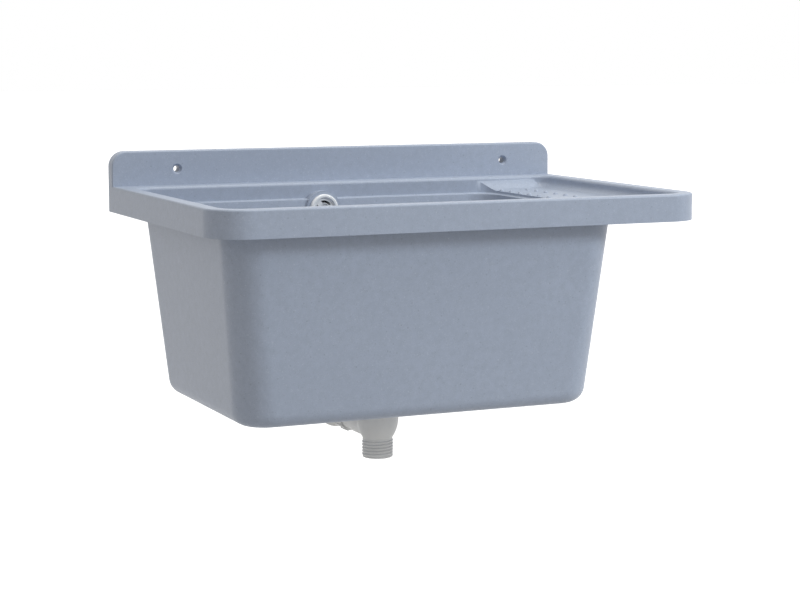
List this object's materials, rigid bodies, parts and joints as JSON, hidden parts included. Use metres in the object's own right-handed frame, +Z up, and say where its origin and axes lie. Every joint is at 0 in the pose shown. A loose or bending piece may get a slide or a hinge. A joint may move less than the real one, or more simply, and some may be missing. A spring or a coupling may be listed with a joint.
{
  "type": "wall-mounted sink",
  "caption": "Wall-hung utility sink in speckled grey resin: deep tapered tub, rim with drainboard at the right, backsplash with screw holes, overflow, lift-out plug and threaded drain.",
  "frame": {"origin": "on the wall face, midway between the two wall-screw holes", "axes": "+X along the wall to the right, +Y into the wall, +Z up; the front faces -Y"},
  "size_m": [0.61, 0.41, 0.365],
  "materials": {
    "resin": "satin, fine light and dark speckle",
    "grey_plastic": "satin",
    "white_plastic": "gloss",
    "steel": "brushed",
    "brass": "turned",
    "seal_rubber": "matte",
    "plug_rubber": "matte"
  },
  "bodies": {
    "sink": {"sink_basin": "resin", "waste_flange": "steel", "waste_screw": "steel", "waste_insert": "brass", "flange_seal": "seal_rubber", "body_seal": "seal_rubber", "drain_body": "grey_plastic", "drain_tail": "grey_plastic", "lower_hose_seal": "seal_rubber", "lower_hose_nut": "grey_plastic", "overflow_hose": "grey_plastic", "upper_hose_seal": "seal_rubber", "upper_hose_nut": "grey_plastic", "overflow_rosette": "white_plastic", "overflow_screw": "steel", "overflow_seal": "seal_rubber", "overflow_elbow": "grey_plastic", "overflow_insert": "brass"},
    "plug": {"drain_plug": "plug_rubber", "plug_stud": "steel"},
    "bail": {"plug_bail": "steel"}
  },
  "joints": [
    {"name": "plug_lift", "type": "slide", "parent": "sink", "child": "plug", "axis": [0, 0, 1], "range_m": [0, 0.3]},
    {"name": "bail_swing", "type": "hinge", "parent": "plug", "child": "bail", "pos_m": [-0.0455, -0.224, -0.25695], "axis": [-1, 0, 0], "range_deg": [0, 180]}
  ]
}
